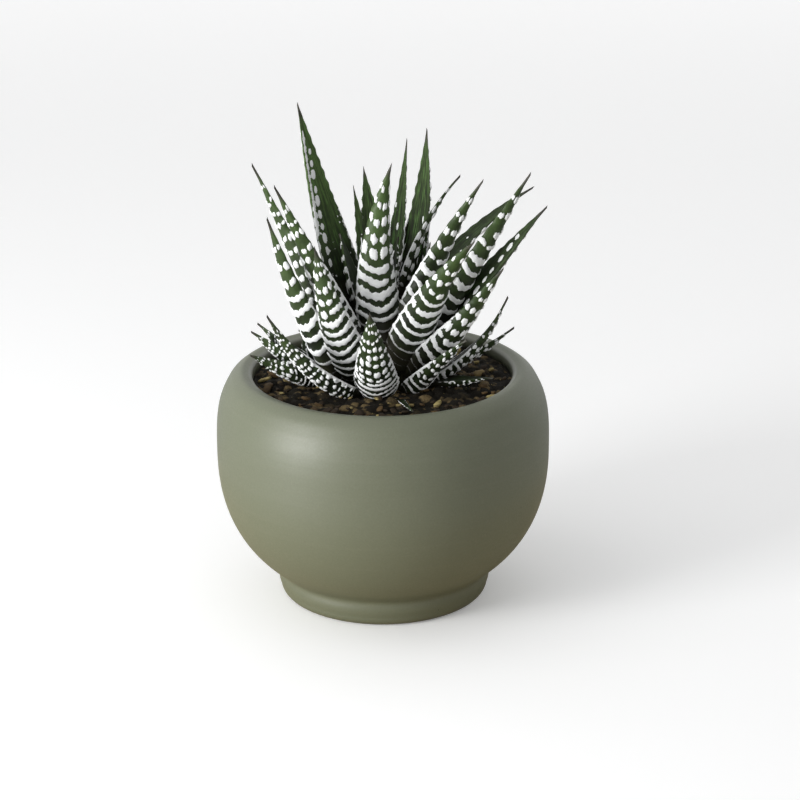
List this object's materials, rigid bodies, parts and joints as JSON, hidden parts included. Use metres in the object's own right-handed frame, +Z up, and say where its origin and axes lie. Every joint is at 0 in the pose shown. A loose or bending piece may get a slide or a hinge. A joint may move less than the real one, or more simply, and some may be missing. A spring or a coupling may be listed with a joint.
{
  "type": "potted haworthia",
  "caption": "Rosette succulent with stiff pointed leaves crossed by raised white bands, standing with a small offset in soil in a round glazed bowl on a short foot.",
  "frame": {"origin": "centre of the bowl's foot, on the surface that it stands on", "axes": "+Z up, from the foot to the leaf tips; -Y the front, where the broad short front leaf is; +X to the right of someone facing the front"},
  "size_m": [0.117, 0.117, 0.175],
  "materials": {
    "glaze": "matt sage green with a soft sheen",
    "soil": "rough, crumbly potting mix of bark and peat",
    "stem": "matt",
    "leaf": "satin, with raised white bands"
  },
  "bodies": {
    "root": {"bowl": "glaze", "soil": "soil", "stem": "stem", "leaf_front": "leaf", "leaf_front_left_low": "leaf", "leaf_front_right_low": "leaf", "leaf_front_slip": "leaf", "leaf_right_low": "leaf", "leaf_right_soil": "leaf", "leaf_right_outer": "leaf", "leaf_back_right_low": "leaf", "leaf_back_low": "leaf", "leaf_back_left_low": "leaf", "leaf_left_back_low": "leaf", "leaf_left_back_mid": "leaf", "leaf_back_left_mid": "leaf", "leaf_back_right_mid": "leaf", "leaf_left_outer": "leaf", "leaf_front_left": "leaf", "leaf_front_right": "leaf", "leaf_right_banded": "leaf", "leaf_right_long": "leaf", "leaf_back_right": "leaf", "leaf_back": "leaf", "leaf_back_left": "leaf", "leaf_left_back": "leaf", "leaf_left_long": "leaf", "leaf_left_inner": "leaf", "leaf_tallest": "leaf", "leaf_centre_front": "leaf", "leaf_right_broad": "leaf", "leaf_right_dark": "leaf", "leaf_right_short": "leaf", "leaf_back_slim_left": "leaf", "leaf_heart_back": "leaf", "leaf_heart_right": "leaf", "leaf_heart_tall": "leaf", "leaf_heart": "leaf", "leaf_heart_left": "leaf", "leaf_bud_front": "leaf", "leaf_bud_right": "leaf", "leaf_bud_left": "leaf", "offset_rosette": "leaf"}
  },
  "joints": []
}
